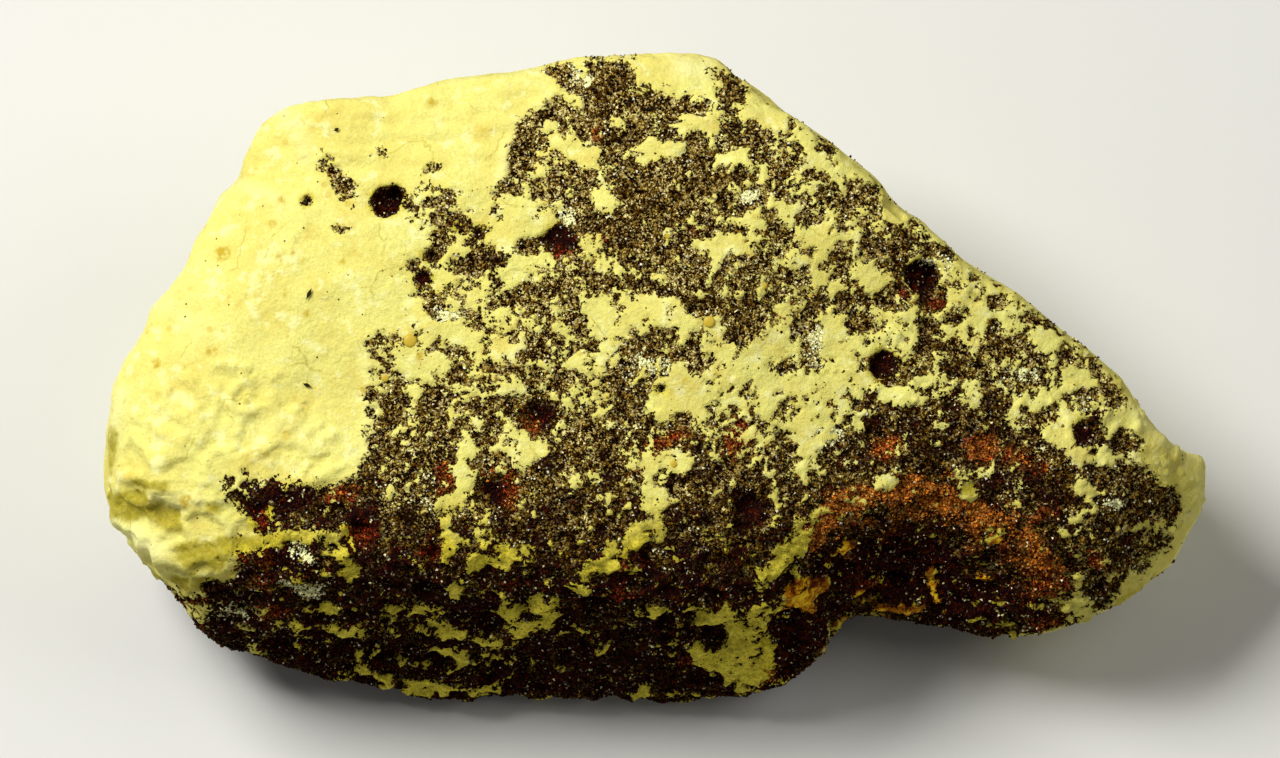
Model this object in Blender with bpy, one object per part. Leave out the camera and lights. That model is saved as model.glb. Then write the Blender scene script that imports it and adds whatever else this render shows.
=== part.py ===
"""A hand specimen of massive native sulfur, lying on its back with its crusted face up.

The lump is one solid. It is shaped in face coordinates, in millimetres: u runs across the crusted
face, v up it and w out of it. The face is then tipped towards -Y and the lump is cut flat where
it rests. World axes: +X along the longest side, +Y away from the front wall, +Z up.
"""

import math

import bmesh
import bpy
import numpy as np
from mathutils import Matrix, Vector, noise

MM = 0.001

# Driving dimensions, in millimetres and degrees.
SPECIMEN_WIDTH = 90.0
FACE_HEIGHT = 30.0  # from the rest plane up to the origin of the face coordinates
FACE_SETBACK = 4.1  # from the middle of the bounding box forward to that origin
FACE_SHIFT = 0.05  # and to the left
FACE_TIP = 15.0  # how far the crusted face tips towards the front
EDGE_ROUNDING = 0.55  # how softly facets run into each other

# Corners of the outline as seen straight onto the face, clockwise from the left end: (u, v).
OUTLINE = (
    (-45.3, -7.8), (-45.1, -3.5), (-44.2, -0.2), (-41.4, 4.6), (-38.5, 8.8), (-37.5, 11.3),
    (-35.8, 14.4), (-34.2, 16.2), (-33.8, 18.3), (-32.3, 20.5), (-30.3, 22.2), (-26.0, 22.8),
    (-22.0, 22.9), (-17.6, 24.4), (-11.9, 24.6), (-7.7, 25.9), (-3.6, 26.6), (3.1, 27.1),
    (5.0, 26.1), (6.7, 24.4), (10.7, 21.6), (14.6, 18.8), (18.5, 15.8), (19.9, 13.9),
    (22.2, 12.6), (24.8, 9.7), (27.5, 8.0), (31.0, 5.8), (35.2, 2.6), (38.4, -0.3),
    (39.3, -2.7), (41.6, -5.3), (44.8, -6.8), (45.6, -8.3), (45.5, -10.8), (43.0, -15.4),
    (38.8, -19.0), (34.4, -21.2), (31.5, -21.7), (28.0, -21.4), (21.7, -20.0), (17.6, -19.0),
    (15.1, -19.3), (13.9, -21.1), (13.0, -23.6), (10.2, -25.9), (6.0, -26.5), (-12.7, -27.0),
    (-18.9, -27.3), (-24.2, -25.9), (-30.2, -23.6), (-34.6, -22.1), (-37.3, -19.7),
    (-39.1, -16.8), (-42.2, -14.7), (-44.3, -11.7),
)  # fmt: skip

# Broken faces: a point (u, v, w) on each, the heading in which it falls away (0 along +u, 90 along
# +v) and its dip. A dip of 0 faces straight out of the crusted face and one over 90 is undercut.
FACETS = (
    # The crusted face and the slopes round it.
    ((-20.0, 2.0, 0.0), 130.0, 4.0),
    ((8.0, 0.0, 0.2), 0.0, 9.0),
    ((30.0, 0.0, -4.0), 15.0, 17.0),
    ((-14.0, 17.0, -1.1), 100.0, 15.0),
    ((8.0, 19.0, -1.3), 60.0, 20.0),
    ((-29.5, 18.5, -2.2), 150.0, 34.0),
    ((3.5, 25.0, -3.4), 75.0, 38.0),
    ((-41.0, 2.0, -2.4), 155.0, 30.0),
    ((-43.8, -5.0, -4.2), 180.0, 66.0),
    # The lower left shoulder and the belly that rolls into the front wall.
    ((-36.0, -10.5, 0.3), 245.0, 24.0),
    ((-39.5, -15.0, -4.5), 232.0, 58.0),
    ((-8.0, -14.6, 0.6), 270.0, 20.0),
    ((-8.0, -16.4, -0.6), 270.0, 42.0),
    ((-10.0, -18.0, -3.4), 268.0, 64.0),
    ((-30.0, -20.0, -7.0), 256.0, 66.0),
    # The right end: a lower shoulder and a bevel round the tip.
    ((30.0, -14.5, -4.6), 285.0, 30.0),
    ((30.0, -18.5, -8.6), 280.0, 58.0),
    ((41.5, -6.0, -8.0), 20.0, 44.0),
    ((42.0, -12.0, -9.5), 325.0, 48.0),
    # The undercut sides and back, hidden from the front.
    ((-45.2, -6.0, -13.0), 182.0, 97.0),
    ((-38.6, 8.6, -15.0), 150.0, 106.0),
    ((-31.2, 21.6, -9.0), 118.0, 112.0),
    ((-10.0, 25.4, -10.0), 92.0, 101.0),
    ((7.0, 25.6, -11.0), 66.0, 112.0),
    ((22.6, 12.6, -15.0), 50.0, 99.0),
    ((36.6, 2.8, -13.0), 42.0, 116.0),
    ((45.6, -9.0, -14.0), 358.0, 104.0),
    ((41.8, -17.0, -20.0), 318.0, 98.0),
    # The lower breaks that turn under towards the rest.
    ((-38.0, 0.0, -25.0), 172.0, 134.0),
    ((-20.0, 20.0, -26.0), 105.0, 136.0),
    ((14.0, 14.0, -27.0), 62.0, 140.0),
    ((36.0, -6.0, -23.0), 20.0, 137.0),
    ((-35.8, -21.8, -17.5), 228.0, 116.0),
    ((-8.0, -27.4, -20.0), 268.0, 114.0),
    ((28.0, -21.8, -18.0), 288.0, 112.0),
)

# Broad hollows and swellings: centre (u, v, w), half-widths (u, v, w) and depth, negative outwards.
HOLLOWS = (
    ((21.6, -17.6, -6.0), (8.4, 6.6, 7.0), 5.4),  # the stained bowl that opens at the lower edge
    ((20.4, -17.0, -9.0), (2.8, 2.2, 3.0), 2.2),  # the dark hole at its bottom
    ((14.0, -24.5, -28.0), (5.0, 4.0, 6.5), 3.0),  # the break that rounds the corner beside it
    ((-39.5, -11.4, -2.0), (5.2, 1.5, 2.5), 0.9),  # the groove across the lower left shoulder
    ((-39.8, -14.3, -4.0), (3.0, 1.7, 2.5), -0.9),  # the lump under that groove
    ((-33.6, -12.4, -1.0), (2.2, 1.6, 2.0), 0.7),
    ((3.0, 24.3, -2.5), (3.4, 1.8, 2.0), 0.7),  # the chip at the top corner
    ((-30.5, 17.3, -2.5), (2.8, 2.6, 2.0), 0.7),  # the scallop at the upper left corner
    ((-27.5, -2.0, 0.0), (9.0, 5.0, 3.0), 0.5),
    ((-39.5, 1.5, -2.0), (4.0, 6.0, 3.0), -0.5),
    ((2.0, 6.0, 0.0), (10.0, 5.0, 3.0), -0.5),
    ((17.0, 4.0, -1.0), (5.0, 6.0, 3.0), 0.5),
    ((33.0, -7.0, -5.0), (6.0, 4.0, 3.0), -0.7),
    ((7.5, -21.5, -12.0), (4.0, 2.5, 6.0), 0.8),  # the smooth pocket by the front corner
    ((-12.0, -21.0, -11.0), (7.0, 1.4, 3.2), -0.7),
    ((-27.0, -20.5, -9.0), (6.0, 1.4, 3.0), -0.8),
    ((3.0, -22.0, -14.0), (6.5, 1.5, 3.0), -0.7),
    # Scars on the hidden sides.
    ((-24.0, 24.0, -15.0), (9.0, 5.0, 6.0), 1.8),
    ((4.0, 24.0, -20.0), (8.0, 6.0, 6.0), 1.6),
    ((26.0, 8.0, -20.0), (8.0, 6.0, 6.0), 1.8),
    ((-42.0, -4.0, -19.0), (5.0, 7.0, 5.0), 1.4),
    ((40.0, -13.0, -17.0), (4.0, 6.0, 4.0), 1.2),
)

# Dark round pockets that break the smooth sulfur: centre (u, v) on the face, radius and depth.
POCKETS = (
    (-22.0, 14.5, 1.3, 0.6),
    (21.9, 8.2, 1.5, 0.65),
    (22.9, 6.2, 1.2, 0.45),
    (18.8, 1.0, 1.3, 0.5),
    (-8.1, 11.3, 1.6, 0.4),
    (-9.6, -3.0, 1.5, 0.5),
    (-13.0, -9.2, 1.8, 0.5),
    (-18.6, -8.1, 1.4, 0.45),
    (7.9, -10.6, 1.7, 0.45),
    (18.5, -4.8, 2.0, 0.45),
    (27.9, -5.5, 2.0, 0.4),
    (-24.9, -11.4, 1.8, 0.5),
    (-32.0, -10.8, 1.6, 0.4),
)

BODY_CENTRE = Vector((0.0, 0.0, -13.0))  # inside the lump, in face coordinates
START_RADII = (45.0, 25.0, 17.0)  # the ellipsoid whose points are pushed onto the broken faces
START_SUBDIVISIONS = 8
KEPT_SHARE = 0.0365  # of the fine triangles, which leaves a faceted stone
RELIEF = ((9.0, 0.45), (3.6, 0.26), (1.7, 0.12))  # wavelength and height of each surface octave
HIDDEN_RELIEF = 1.8  # how much rougher the lower breaks are than the crusted face


def clear_scene():
    for obj in list(bpy.data.objects):
        bpy.data.objects.remove(obj)


def face_to_world():
    """The matrix from face coordinates in millimetres to world coordinates in metres."""
    tip = Matrix.Rotation(math.radians(FACE_TIP), 4, "X")
    place = Matrix.Translation((-FACE_SHIFT, -FACE_SETBACK, FACE_HEIGHT))
    return Matrix.Scale(MM, 4) @ place @ tip


def outline_reach(points):
    """How far the outline lies from its middle, in the direction of each point's (u, v)."""
    corners = np.array(OUTLINE + OUTLINE[:1])
    samples_per_edge = 24
    steps = np.linspace(0.0, 1.0, samples_per_edge, endpoint=False)[:, None]
    edge = np.concatenate([a + (b - a) * steps for a, b in zip(corners[:-1], corners[1:])])
    angle = np.arctan2(edge[:, 1], edge[:, 0])
    order = np.argsort(angle)
    reach = np.hypot(edge[:, 0], edge[:, 1])[order]
    heading = np.arctan2(points[:, 1], points[:, 0])
    return np.interp(heading, angle[order], reach, period=2.0 * math.pi)


def facet_normals():
    """The outward direction of each broken face."""
    heading, dip = np.radians(np.array([facet[1:] for facet in FACETS])).T
    return np.stack([np.sin(dip) * np.cos(heading), np.sin(dip) * np.sin(heading), np.cos(dip)], axis=1)


def hollow_depth(points):
    """How far the hollows push the surface in at each point."""
    depth = np.zeros(len(points))
    for centre, half_widths, hollow in HOLLOWS:
        away = (points - np.array(centre)) / np.array(half_widths)
        depth += hollow * np.exp(-(away**2).sum(axis=1))
    crusted_side = points[:, 2] > -12.0
    for u, v, radius, pocket in POCKETS:
        away = np.hypot(points[:, 0] - u, points[:, 1] - v) / radius
        depth += pocket * np.exp(-(away**4)) * crusted_side
    return depth


def outside(points):
    """How far each point lies outside the lump, as a soft intersection of its faces."""
    anchors = np.array([facet[0] for facet in FACETS])
    normals = facet_normals()
    beyond = points @ normals.T - (anchors * normals).sum(axis=1)
    rim = np.hypot(points[:, 0], points[:, 1]) - outline_reach(points)
    beyond = np.concatenate([beyond, rim[:, None]], axis=1)
    highest = beyond.max(axis=1)
    spread = np.exp((beyond - highest[:, None]) / EDGE_ROUNDING).sum(axis=1)
    return highest + EDGE_ROUNDING * np.log(spread) + hollow_depth(points)


def surface_along(directions):
    """Where each ray from the body centre leaves the lump."""
    near = np.zeros(len(directions))
    far = np.full(len(directions), SPECIMEN_WIDTH)
    centre = np.array(BODY_CENTRE)
    for _ in range(26):
        middle = (near + far) / 2.0
        inside = outside(centre + directions * middle[:, None]) < 0.0
        near = np.where(inside, middle, near)
        far = np.where(inside, far, middle)
    return centre + directions * near[:, None]


def relief(place):
    """Height of the broken surface at a place: scalloped ridges over finer lumps."""
    height = 0.0
    for wavelength, amplitude in RELIEF:
        height += amplitude * noise.noise(place / wavelength, noise_basis="PERLIN_ORIGINAL")
    return height


def lump_mesh():
    """The whole lump before it is cut flat, in world coordinates."""
    shape = bmesh.new()
    bmesh.ops.create_icosphere(shape, subdivisions=START_SUBDIVISIONS, radius=1.0)
    start = np.array([vertex.co for vertex in shape.verts]) * START_RADII
    directions = start / np.linalg.norm(start, axis=1)[:, None]
    for vertex, place in zip(shape.verts, surface_along(directions)):
        vertex.co = place
    shape.normal_update()
    for vertex in shape.verts:
        buried = min(max((-vertex.co.z - 8.0) / 8.0, 0.0), 1.0)
        vertex.co += vertex.normal * relief(vertex.co) * (1.0 + (HIDDEN_RELIEF - 1.0) * buried)
    shape.transform(face_to_world())
    mesh = bpy.data.meshes.new("sulfur_specimen")
    shape.to_mesh(mesh)
    shape.free()
    return mesh


def rest_cutter():
    """A slab whose top is the surface that the lump rests on."""
    side, depth = 0.2, 0.1
    slab = bmesh.new()
    bmesh.ops.create_cube(slab, size=1.0)
    slab.transform(Matrix.Translation((0.0, 0.0, -depth / 2.0)) @ Matrix.Diagonal((side, side, depth, 1.0)))
    mesh = bpy.data.meshes.new("rest_cutter")
    slab.to_mesh(mesh)
    slab.free()
    cutter = bpy.data.objects.new("rest_cutter", mesh)
    cutter.hide_render = True
    cutter.display_type = "WIRE"
    bpy.context.scene.collection.objects.link(cutter)
    return cutter


def sulfur_material():
    material = bpy.data.materials.new("sulfur")
    material.use_nodes = True
    shader = material.node_tree.nodes["Principled BSDF"]
    shader.inputs["Base Color"].default_value = (0.90, 0.80, 0.28, 1.0)
    shader.inputs["Roughness"].default_value = 0.55
    shader.inputs["Metallic"].default_value = 0.0
    return material


def build_specimen():
    specimen = bpy.data.objects.new("sulfur_specimen", lump_mesh())
    bpy.context.scene.collection.objects.link(specimen)
    specimen.data.materials.append(sulfur_material())
    coarsen = specimen.modifiers.new("coarsen", "DECIMATE")
    coarsen.ratio = KEPT_SHARE
    rest = specimen.modifiers.new("rest", "BOOLEAN")
    rest.operation = "DIFFERENCE"
    rest.object = rest_cutter()
    return specimen


clear_scene()
build_specimen()
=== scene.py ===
"""The looks of a lump of massive native sulfur: waxy yellow where bare, grown over by a dark crust.

The lump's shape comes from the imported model. Everything is placed in face coordinates, in
millimetres: u runs across the crusted face, v up it and w out of it.
"""

import math

import bmesh
import bpy
import numpy as np
from mathutils import Matrix, Quaternion, Vector, noise
from mathutils.bvhtree import BVHTree


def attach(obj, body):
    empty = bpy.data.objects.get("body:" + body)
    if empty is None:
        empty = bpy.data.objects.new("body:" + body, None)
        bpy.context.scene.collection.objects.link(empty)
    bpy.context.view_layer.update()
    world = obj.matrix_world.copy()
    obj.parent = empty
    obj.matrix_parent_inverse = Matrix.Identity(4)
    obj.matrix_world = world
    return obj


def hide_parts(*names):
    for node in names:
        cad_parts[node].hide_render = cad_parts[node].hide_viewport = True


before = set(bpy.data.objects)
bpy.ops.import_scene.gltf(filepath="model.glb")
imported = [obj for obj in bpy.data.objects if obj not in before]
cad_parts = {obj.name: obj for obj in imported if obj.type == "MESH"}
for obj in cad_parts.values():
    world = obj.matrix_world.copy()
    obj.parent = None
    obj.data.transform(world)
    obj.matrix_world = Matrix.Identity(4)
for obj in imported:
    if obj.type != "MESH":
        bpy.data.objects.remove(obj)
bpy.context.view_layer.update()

NODE = "sulfur_specimen"
MM = 0.001

# The face's place on the lump, as the CAD has it, in millimetres and degrees.
FACE_HEIGHT = 30.0
FACE_SETBACK = 4.1
FACE_SHIFT = 0.05
FACE_TIP = 15.0
FACE_TURN = Matrix.Rotation(math.radians(FACE_TIP), 4, "X")
FACE_PLACE = Matrix.Translation((-FACE_SHIFT, -FACE_SETBACK, FACE_HEIGHT))
FACE_TO_WORLD = Matrix.Scale(MM, 4) @ FACE_PLACE @ FACE_TURN  # from millimetres to metres

# The photograph's frame. Places on the face are read from it in pixels and turned into millimetres.
FRAME_WIDTH, FRAME_HEIGHT = 1280, 758
FACE_ORIGIN = (655, 377)  # the pixel of u = v = 0
PIXEL = 0.08197  # millimetres on the face
LENS, SENSOR = 600.0, 36.0  # the camera's, in millimetres
OUTLINE_DEPTH = -6.0  # w of the widest part of the lump, which the framing is set at

VOXEL = 0.6  # of the lump's mesh, halved on the crusted face
RESTING_BELOW, FLOOR_GAP = 0.15, 0.02  # a point lower than the first rests, others clear the second
LACUNARITY = 2.1  # of the noise: how much finer each octave is
COARSE_GRAINS, COARSE_RADII = 24000, (0.08, 0.15)
FINE_GRAINS, FINE_RADII = 120000, (0.06, 0.13)
FINE_PIECES = 4
STRAY_SHARE = 0.04  # of the grains that lie between the clumps
SEED = 16
KEY_SIDE = (-0.54, 0.52, 0.76)  # the side that the key light shines from, in face coordinates

# The relief, in millimetres.
WAVE_HEIGHT, RIPPLE_HEIGHT = 0.022, 0.020
CRUST_DEPTH, CRUST_ROUGHNESS = 0.24, 0.05
LIP_HEIGHT = 0.06  # of the bare sulfur's edge against the crust
CELL_SIZE, CELL_HEIGHT = 2.9, 0.60  # of the rounded cells of the dark crust
CREASE_HEIGHT, CREASE_STRETCH = 0.07, (0.25, 1.0, 1.0)  # on the top slope, drawn out along u
OUTLINE_SWELL = 0.03
# Painted highlight on the crests of raised folds, as pale as the milky patches.
FOLD_HIGHLIGHT = 2.5  # how pale a fold is for each millimetre of its height

# Thin walls of sulfur part the crust's cells where it is darker than this, left of this u.
SEPTA_DARKNESS, SEPTA_END = 0.9, 11.0

# In the tables below, a centre and an end are pixels, and so are reaches, radii and half-widths.
# fmt: off

# The crust's border on the face, clockwise from the top. Bare sulfur lies to its left and outside.
CRUST_EDGE = (
    (548, 66), (600, 62), (634, 64), (648, 80), (668, 93), (700, 96), (712, 72), (722, 68),
    (736, 82), (743, 108), (754, 128), (768, 113), (786, 120), (802, 140), (824, 150), (848, 172),
    (868, 190), (882, 205), (900, 228), (926, 240), (955, 256), (970, 275), (1010, 300),
    (1048, 322), (1085, 350), (1115, 385), (1125, 405), (1098, 420), (1120, 455), (1150, 474),
    (1174, 490), (1180, 520), (1160, 548), (1128, 580), (1108, 604), (1075, 626), (1040, 645),
    (940, 650), (860, 650), (830, 690), (780, 705), (480, 725), (320, 705), (190, 640), (174, 596),
    (196, 587), (232, 580), (246, 556), (290, 545), (300, 536), (246, 534), (256, 524), (244, 508),
    (222, 490), (228, 476), (290, 478), (335, 490), (345, 480), (364, 474), (370, 445), (368, 390),
    (366, 345), (385, 338), (408, 328), (414, 290), (412, 240), (410, 196), (440, 186), (470, 192),
    (498, 192), (512, 178), (512, 150), (520, 124), (544, 108), (560, 84),
)

# How thickly the crust covers its parts: centre, reach, and cover from -100 (bare) to 100 (solid).
COVER = (
    # The top.
    (612, 80, 40, 110), (560, 112, 28, 40), (545, 165, 34, 50), (625, 118, 40, 60),
    (700, 110, 38, 45), (732, 92, 24, 65), (765, 130, 26, 5), (660, 195, 44, 85),
    (720, 190, 38, 42), (800, 148, 30, 55), (775, 205, 36, 30), (845, 210, 34, 15),
    (640, 245, 36, 70), (690, 250, 36, 65), (750, 255, 36, 15), (850, 265, 34, 0),
    # The upper left, where the crust breaks up into spots.
    (450, 208, 26, 30), (500, 222, 26, -50), (560, 255, 30, 30), (432, 262, 24, -75),
    (500, 275, 30, -45), (425, 310, 26, -70), (385, 352, 24, -65),
    # The middle.
    (490, 318, 34, 28), (550, 320, 34, 32), (605, 318, 26, 0), (460, 360, 30, 5),
    (520, 382, 38, 30), (580, 392, 36, 35), (640, 360, 28, 30), (735, 330, 24, 45),
    (690, 330, 24, -12), (695, 385, 26, -45), (765, 375, 34, -50), (815, 385, 34, -85),
    (400, 425, 34, 50), (450, 425, 34, 40), (520, 450, 34, 25), (590, 440, 40, 55),
    (650, 430, 30, 55), (705, 445, 28, 30), (765, 430, 26, -12), (800, 455, 26, 34),
    # The lower left and the belly.
    (270, 505, 34, 85), (350, 515, 34, 85), (420, 515, 38, 75), (560, 515, 44, 75),
    (620, 505, 30, 45), (710, 510, 38, 80), (770, 560, 36, 80), (500, 565, 36, 60),
    (290, 575, 40, 75), (620, 575, 44, 85),
    # The front wall.
    (300, 630, 60, 110), (430, 640, 60, 100), (560, 655, 60, 115), (680, 650, 50, 115),
    (800, 640, 30, 120), (620, 600, 40, 100), (480, 600, 40, 100),
    # The right.
    (900, 255, 26, 30), (960, 285, 28, -60), (810, 300, 32, 5), (870, 312, 26, 0),
    (860, 350, 26, -60), (925, 335, 26, 0), (965, 352, 24, 50), (1018, 355, 26, 45),
    (1072, 350, 24, 35), (1000, 400, 26, 25), (1060, 400, 28, 20), (935, 405, 26, 40),
    (880, 420, 26, 55), (830, 440, 26, 25), (900, 460, 36, 75), (970, 460, 38, 85),
    (1040, 470, 38, 85), (830, 480, 28, 60), (1110, 500, 32, 72), (1150, 520, 28, 66),
    (1060, 508, 24, 85), (1110, 560, 34, 70), (1040, 560, 44, 90), (960, 560, 50, 95),
    (890, 560, 44, 95), (1040, 615, 36, 70), (950, 620, 36, 85),
)

# Clean sulfur that shows through the crust: centre, half-widths and any tilt in degrees.
WINDOWS = (
    # The top.
    (584, 72, 5, 12, 20), (578, 150, 30, 10, -38), (652, 152, 25, 9), (672, 82, 34, 14, -6),
    (696, 126, 15, 8), (603, 196, 9, 18, 20), (512, 224, 31, 22), (765, 108, 22, 13, -40),
    (720, 246, 20, 9), (609, 270, 12, 10), (540, 268, 26, 9), (832, 162, 19, 8), (800, 185, 10, 7),
    (790, 262, 9, 6), (735, 158, 8, 5), (822, 236, 13, 8), (868, 282, 13, 9), (752, 218, 8, 6),
    (895, 205, 14, 12, -40),
    # The middle.
    (638, 312, 38, 14), (700, 335, 15, 19), (588, 364, 14, 10), (686, 395, 34, 13, 22),
    (756, 350, 26, 9, 10), (800, 396, 30, 18, -8), (770, 372, 20, 8), (522, 444, 20, 12, -20),
    (467, 474, 8, 30), (470, 500, 17, 11), (670, 460, 17, 9), (656, 494, 9, 40, 4),
    (630, 540, 34, 10, 42), (600, 567, 20, 7, 10), (766, 517, 18, 9, 62), (790, 548, 36, 10, 50),
    (452, 335, 16, 10), (500, 355, 12, 7), (425, 365, 18, 9), (612, 320, 18, 14),
    (842, 372, 22, 40, -10), (815, 430, 20, 14),
    # The lower left.
    (290, 540, 44, 6, 6), (338, 548, 16, 8, -30), (348, 568, 12, 8, -40), (236, 548, 16, 12, 10),
    (447, 545, 9, 18), (480, 562, 13, 9), (496, 556, 18, 12),
    # The front wall.
    (195, 606, 10, 5, -20), (255, 609, 8, 3), (327, 609, 8, 6), (411, 609, 16, 4),
    (302, 627, 18, 3, -8), (355, 632, 18, 4, -6), (448, 630, 18, 5, -14), (484, 639, 14, 3),
    (252, 651, 6, 4, -20), (454, 591, 6, 6), (368, 667, 14, 3, -25), (433, 666, 22, 2, -8),
    (376, 678, 16, 5, -14), (425, 685, 24, 6, -6), (480, 692, 14, 5), (526, 619, 32, 14),
    (580, 630, 22, 3, -18), (460, 656, 6, 6), (654, 611, 10, 4), (722, 620, 48, 15),
    (746, 648, 28, 42), (705, 655, 26, 10, -30), (641, 697, 9, 5), (496, 660, 12, 4),
    (550, 604, 18, 3),
    # The right.
    (945, 275, 7, 14), (982, 318, 16, 8, -30), (940, 385, 14, 8), (970, 392, 10, 10),
    (1036, 398, 14, 8), (1066, 432, 19, 14, 30), (1078, 380, 10, 8), (883, 482, 10, 7),
    (968, 488, 10, 12), (1086, 491, 9, 9), (1067, 533, 7, 4), (1080, 610, 14, 12, 40),
    (1045, 340, 10, 7), (1100, 455, 22, 9, -10), (905, 398, 14, 6), (958, 478, 12, 4),
)

# Lone patches of crust on bare sulfur, in the same terms.
PATCHES = (
    (338, 180, 9, 20, 40), (349, 190, 8, 7), (330, 170, 8, 6, -30), (410, 205, 6, 6),
    (382, 154, 2, 1), (431, 168, 2, 1), (476, 265, 31, 13, 8), (457, 226, 6, 5), (478, 234, 5, 6),
    (432, 256, 8, 7), (415, 266, 6, 7), (424, 280, 9, 8), (525, 246, 9, 6, 10), (450, 292, 6, 5),
    (698, 308, 10, 8), (692, 357, 9, 16), (640, 352, 20, 14), (738, 322, 15, 24, 8),
    (813, 338, 11, 22, -10), (884, 365, 14, 15), (911, 364, 8, 6), (821, 304, 9, 8),
    (845, 300, 7, 6), (886, 303, 8, 8), (862, 322, 15, 12), (867, 342, 5, 5), (926, 326, 8, 11),
    (877, 215, 6, 11), (914, 222, 4, 3), (900, 254, 13, 16), (934, 251, 18, 7, -15),
    (997, 304, 9, 8), (996, 325, 6, 9), (1086, 431, 13, 14), (1125, 441, 16, 10, -10),
    (975, 277, 4, 4), (958, 283, 5, 5), (952, 320, 12, 9), (838, 312, 9, 5), (851, 418, 5, 4),
    (660, 389, 5, 5), (675, 388, 3, 3), (333, 548, 5, 4), (531, 615, 8, 4), (490, 624, 20, 8),
    (689, 620, 8, 5), (713, 637, 16, 12), (700, 612, 8, 4), (797, 634, 6, 4), (742, 612, 3, 3),
    (382, 336, 4, 3), (372, 352, 4, 6), (398, 340, 6, 4), (371, 372, 5, 5), (341, 231, 3, 2),
    (436, 306, 10, 12, 20),
)

# Round gas pits lined with crust: centre, radius and depth in millimetres.
PITS = (
    (387, 202, 15, 0.9), (395, 194, 8, 0.8), (307, 201, 5, 0.3), (456, 226, 6, 0.4),
    (478, 234, 5, 0.4), (432, 256, 7, 0.4), (415, 266, 6, 0.3), (424, 280, 9, 0.4),
    (525, 246, 8, 0.3), (560, 241, 16, 0.4), (922, 276, 17, 1.1), (932, 300, 14, 0.6),
    (884, 365, 15, 0.7), (886, 303, 8, 0.4), (821, 304, 9, 0.4), (926, 325, 9, 0.4),
    (698, 308, 10, 0.4), (660, 389, 5, 0.4), (1086, 431, 13, 0.5), (1125, 441, 11, 0.4),
    (539, 416, 18, 0.5), (497, 491, 19, 0.6), (431, 552, 11, 0.6), (358, 535, 16, 0.6),
    (752, 512, 22, 0.5), (713, 637, 15, 0.8), (689, 620, 7, 0.5), (490, 624, 15, 0.7),
    (333, 548, 5, 0.4), (900, 582, 13, 0.8), (878, 440, 14, 0.3), (262, 512, 12, 0.4),
    (570, 650, 22, 0.7), (620, 640, 18, 0.6), (665, 622, 11, 0.6), (590, 608, 15, 0.5),
    (380, 655, 18, 0.5), (440, 655, 16, 0.5), (330, 650, 16, 0.5), (530, 672, 18, 0.6),
    (600, 680, 18, 0.6), (788, 625, 20, 0.5), (800, 655, 20, 0.6), (420, 590, 14, 0.4),
    (520, 590, 12, 0.4),
)

# How dark the crust is on its parts, from 0 (tan) to 100 (purple-black): centre, reach, darkness.
DARKNESS = (
    # The top.
    (560, 112, 34, 12), (545, 165, 34, 14), (612, 80, 34, 44), (690, 95, 30, 32),
    (728, 100, 24, 42), (640, 130, 34, 28), (660, 200, 44, 36), (600, 235, 34, 36),
    (720, 200, 40, 26), (765, 160, 34, 26), (810, 150, 26, 38), (850, 225, 44, 30),
    (780, 260, 40, 24), (700, 265, 36, 32), (345, 185, 26, 30), (440, 210, 26, 26),
    (475, 266, 26, 48), (430, 320, 26, 34),
    # The middle.
    (480, 330, 44, 20), (550, 330, 44, 20), (620, 350, 34, 26), (400, 400, 34, 34),
    (460, 400, 40, 28), (530, 400, 40, 34), (590, 410, 40, 28), (700, 340, 30, 34),
    (740, 330, 30, 30), (650, 430, 36, 40), (780, 390, 40, 30), (720, 440, 34, 48),
    (400, 450, 34, 40), (500, 450, 40, 40), (800, 455, 34, 42),
    # The right.
    (905, 260, 28, 42), (900, 330, 40, 40), (965, 352, 28, 42), (1018, 350, 28, 32),
    (1072, 350, 30, 32), (1050, 400, 36, 34), (930, 405, 32, 58), (880, 430, 34, 62),
    (1000, 445, 44, 62), (1090, 440, 34, 58), (1130, 510, 44, 56), (1060, 510, 44, 62),
    (1100, 570, 40, 66), (950, 560, 60, 86), (1020, 610, 44, 88), (850, 470, 34, 66),
    # The lower left and the belly.
    (250, 490, 30, 84), (310, 505, 34, 88), (380, 495, 34, 54), (440, 500, 34, 56),
    (520, 500, 40, 54), (600, 500, 40, 54), (700, 495, 40, 60), (760, 545, 34, 74),
    (360, 545, 34, 78), (440, 545, 34, 72), (540, 545, 40, 70), (640, 550, 40, 76),
    (260, 580, 34, 78), (320, 585, 34, 82), (840, 530, 34, 72),
    # The front wall.
    (200, 610, 30, 95), (280, 630, 50, 100), (400, 600, 40, 100), (400, 650, 50, 100),
    (500, 590, 34, 98), (520, 660, 60, 100), (620, 600, 34, 100), (700, 590, 34, 98),
    (640, 660, 60, 100), (770, 610, 34, 98), (790, 660, 40, 100),
)

# The darkest, purple-brown spots and pockets of the crust. Bare sulfur in them is painted with shade.
DARK_SPOTS = (
    (905, 568, 58, 38), (795, 650, 44, 44), (860, 568, 50, 30), (970, 600, 60, 26),
    (285, 500, 40, 14, 8), (262, 516, 16, 14), (360, 530, 22, 26), (430, 552, 12, 14),
    (387, 201, 17, 17), (307, 201, 6, 6), (456, 226, 8, 8), (478, 234, 7, 7), (432, 256, 8, 8),
    (424, 280, 10, 9), (560, 240, 18, 16), (922, 276, 18, 18), (884, 365, 16, 16), (660, 389, 6, 6),
    (750, 510, 20, 14, -30), (497, 491, 16, 14), (540, 416, 14, 18), (420, 256, 4, 4),
    (280, 560, 40, 16, -8), (1086, 431, 12, 13),
)

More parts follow.
